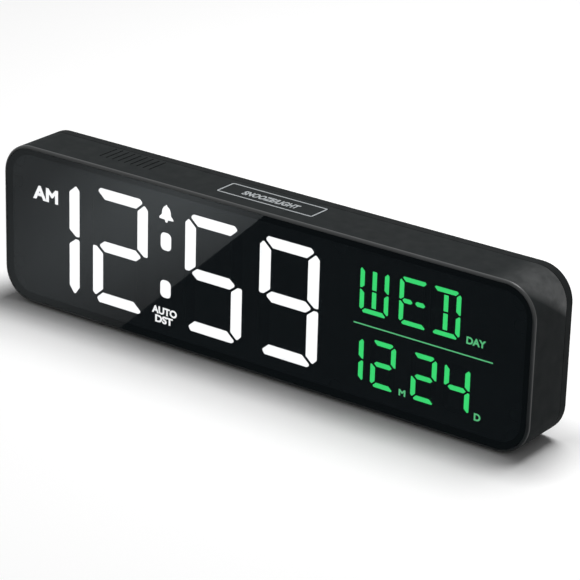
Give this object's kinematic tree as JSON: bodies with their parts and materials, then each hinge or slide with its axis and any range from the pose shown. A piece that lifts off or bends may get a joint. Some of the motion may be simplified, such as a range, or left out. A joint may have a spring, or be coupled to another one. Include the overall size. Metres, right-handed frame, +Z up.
{
  "type": "day clock",
  "caption": "Long low desk clock with a smoked front window showing a large lit time, weekday and date, a snooze key on top, rear keys, battery bay and power socket.",
  "frame": {"origin": "bottom centre: on the surface the feet stand on, midway along the length and the depth", "axes": "+X along the clock's length to the viewer's right, -Y towards the viewer through the front window, +Z up"},
  "size_m": [0.29, 0.03, 0.0785],
  "materials": {
    "housing_plastic": "fine matt texture",
    "cover_plastic": "matt texture",
    "snooze_plastic": "fine matt texture",
    "smoked_lens": "gloss, smoked acrylic",
    "adhesive_tape": "matt",
    "reflector_plastic": "matt black face",
    "white_light": "lit diffuser",
    "green_light": "lit diffuser",
    "green_line_light": "lit diffuser",
    "dark_diffuser": "unlit diffuser",
    "lamp_body": "epoxy",
    "circuit_board": "solder mask",
    "chip_epoxy": "epoxy",
    "screw_steel": "zinc, darkened",
    "foot_rubber": "matt",
    "switch_plastic": "moulded",
    "foam": "foam",
    "speaker_plastic": "moulded",
    "speaker_paper": "coated paper",
    "magnet_steel": "plated",
    "socket_steel": "plated",
    "tongue_plastic": "moulded",
    "cell_jacket": "plain jacket",
    "contact_metal": "nickel plated",
    "ribbon_insulation": "flat cable",
    "wire_insulation": "insulation",
    "rear_key_rubber": "matt"
  },
  "bodies": {
    "case": {"battery_cells": "cell_jacket", "battery_plates": "contact_metal", "battery_springs": "contact_metal", "battery_wires": "wire_insulation", "bell_window": "white_light", "board_ribbon": "ribbon_insulation", "board_screws": "screw_steel", "calendar_segments": "green_light", "clock_chips": "chip_epoxy", "dark_segments": "dark_diffuser", "display_board": "circuit_board", "display_leds": "lamp_body", "display_reflector": "reflector_plastic", "divider_window": "green_line_light", "front_lens": "smoked_lens", "key_board": "circuit_board", "key_board_screws": "screw_steel", "key_switches": "switch_plastic", "lens_tape": "adhesive_tape", "main_housing": "housing_plastic", "power_socket_shell": "socket_steel", "power_socket_tongue": "tongue_plastic", "rear_cover": "cover_plastic", "rear_screws": "screw_steel", "rubber_feet": "foot_rubber", "snooze_board": "circuit_board", "snooze_board_screws": "screw_steel", "snooze_switch": "switch_plastic", "snooze_wires": "wire_insulation", "speaker_cone": "speaker_paper", "speaker_frame": "speaker_plastic", "speaker_gasket": "foam", "speaker_magnet": "magnet_steel", "speaker_wires": "wire_insulation", "time_segments": "white_light"},
    "snooze_key_body": {"snooze_key": "snooze_plastic"},
    "set_key_body": {"set_key": "rear_key_rubber"},
    "mode_key_body": {"mode_key": "rear_key_rubber"},
    "up_key_body": {"up_key": "rear_key_rubber"},
    "down_key_body": {"down_key": "rear_key_rubber"},
    "alarm_key_body": {"alarm_key": "rear_key_rubber"},
    "battery_door_body": {"battery_door": "cover_plastic"}
  },
  "joints": [
    {"name": "snooze_press", "type": "slide", "parent": "case", "child": "snooze_key_body", "axis": [0, 0, -1], "range_m": [0, 0.0006], "stiffness_N_per_m": 800, "springref_m": -0.002},
    {"name": "set_key_press", "type": "slide", "parent": "case", "child": "set_key_body", "axis": [0, -1, 0], "range_m": [0, 0.0005], "stiffness_N_per_m": 600, "springref_m": -0.002},
    {"name": "mode_key_press", "type": "slide", "parent": "case", "child": "mode_key_body", "axis": [0, -1, 0], "range_m": [0, 0.0005], "stiffness_N_per_m": 600, "springref_m": -0.002},
    {"name": "up_key_press", "type": "slide", "parent": "case", "child": "up_key_body", "axis": [0, -1, 0], "range_m": [0, 0.0005], "stiffness_N_per_m": 600, "springref_m": -0.002},
    {"name": "down_key_press", "type": "slide", "parent": "case", "child": "down_key_body", "axis": [0, -1, 0], "range_m": [0, 0.0005], "stiffness_N_per_m": 600, "springref_m": -0.002},
    {"name": "alarm_key_press", "type": "slide", "parent": "case", "child": "alarm_key_body", "axis": [0, -1, 0], "range_m": [0, 0.0005], "stiffness_N_per_m": 600, "springref_m": -0.002},
    {"name": "battery_door_swing", "type": "hinge", "parent": "case", "child": "battery_door_body", "pos_m": [-0.052, 0.015, 0.01615], "axis": [-1, 0, 0], "range_deg": [0, 100]}
  ]
}
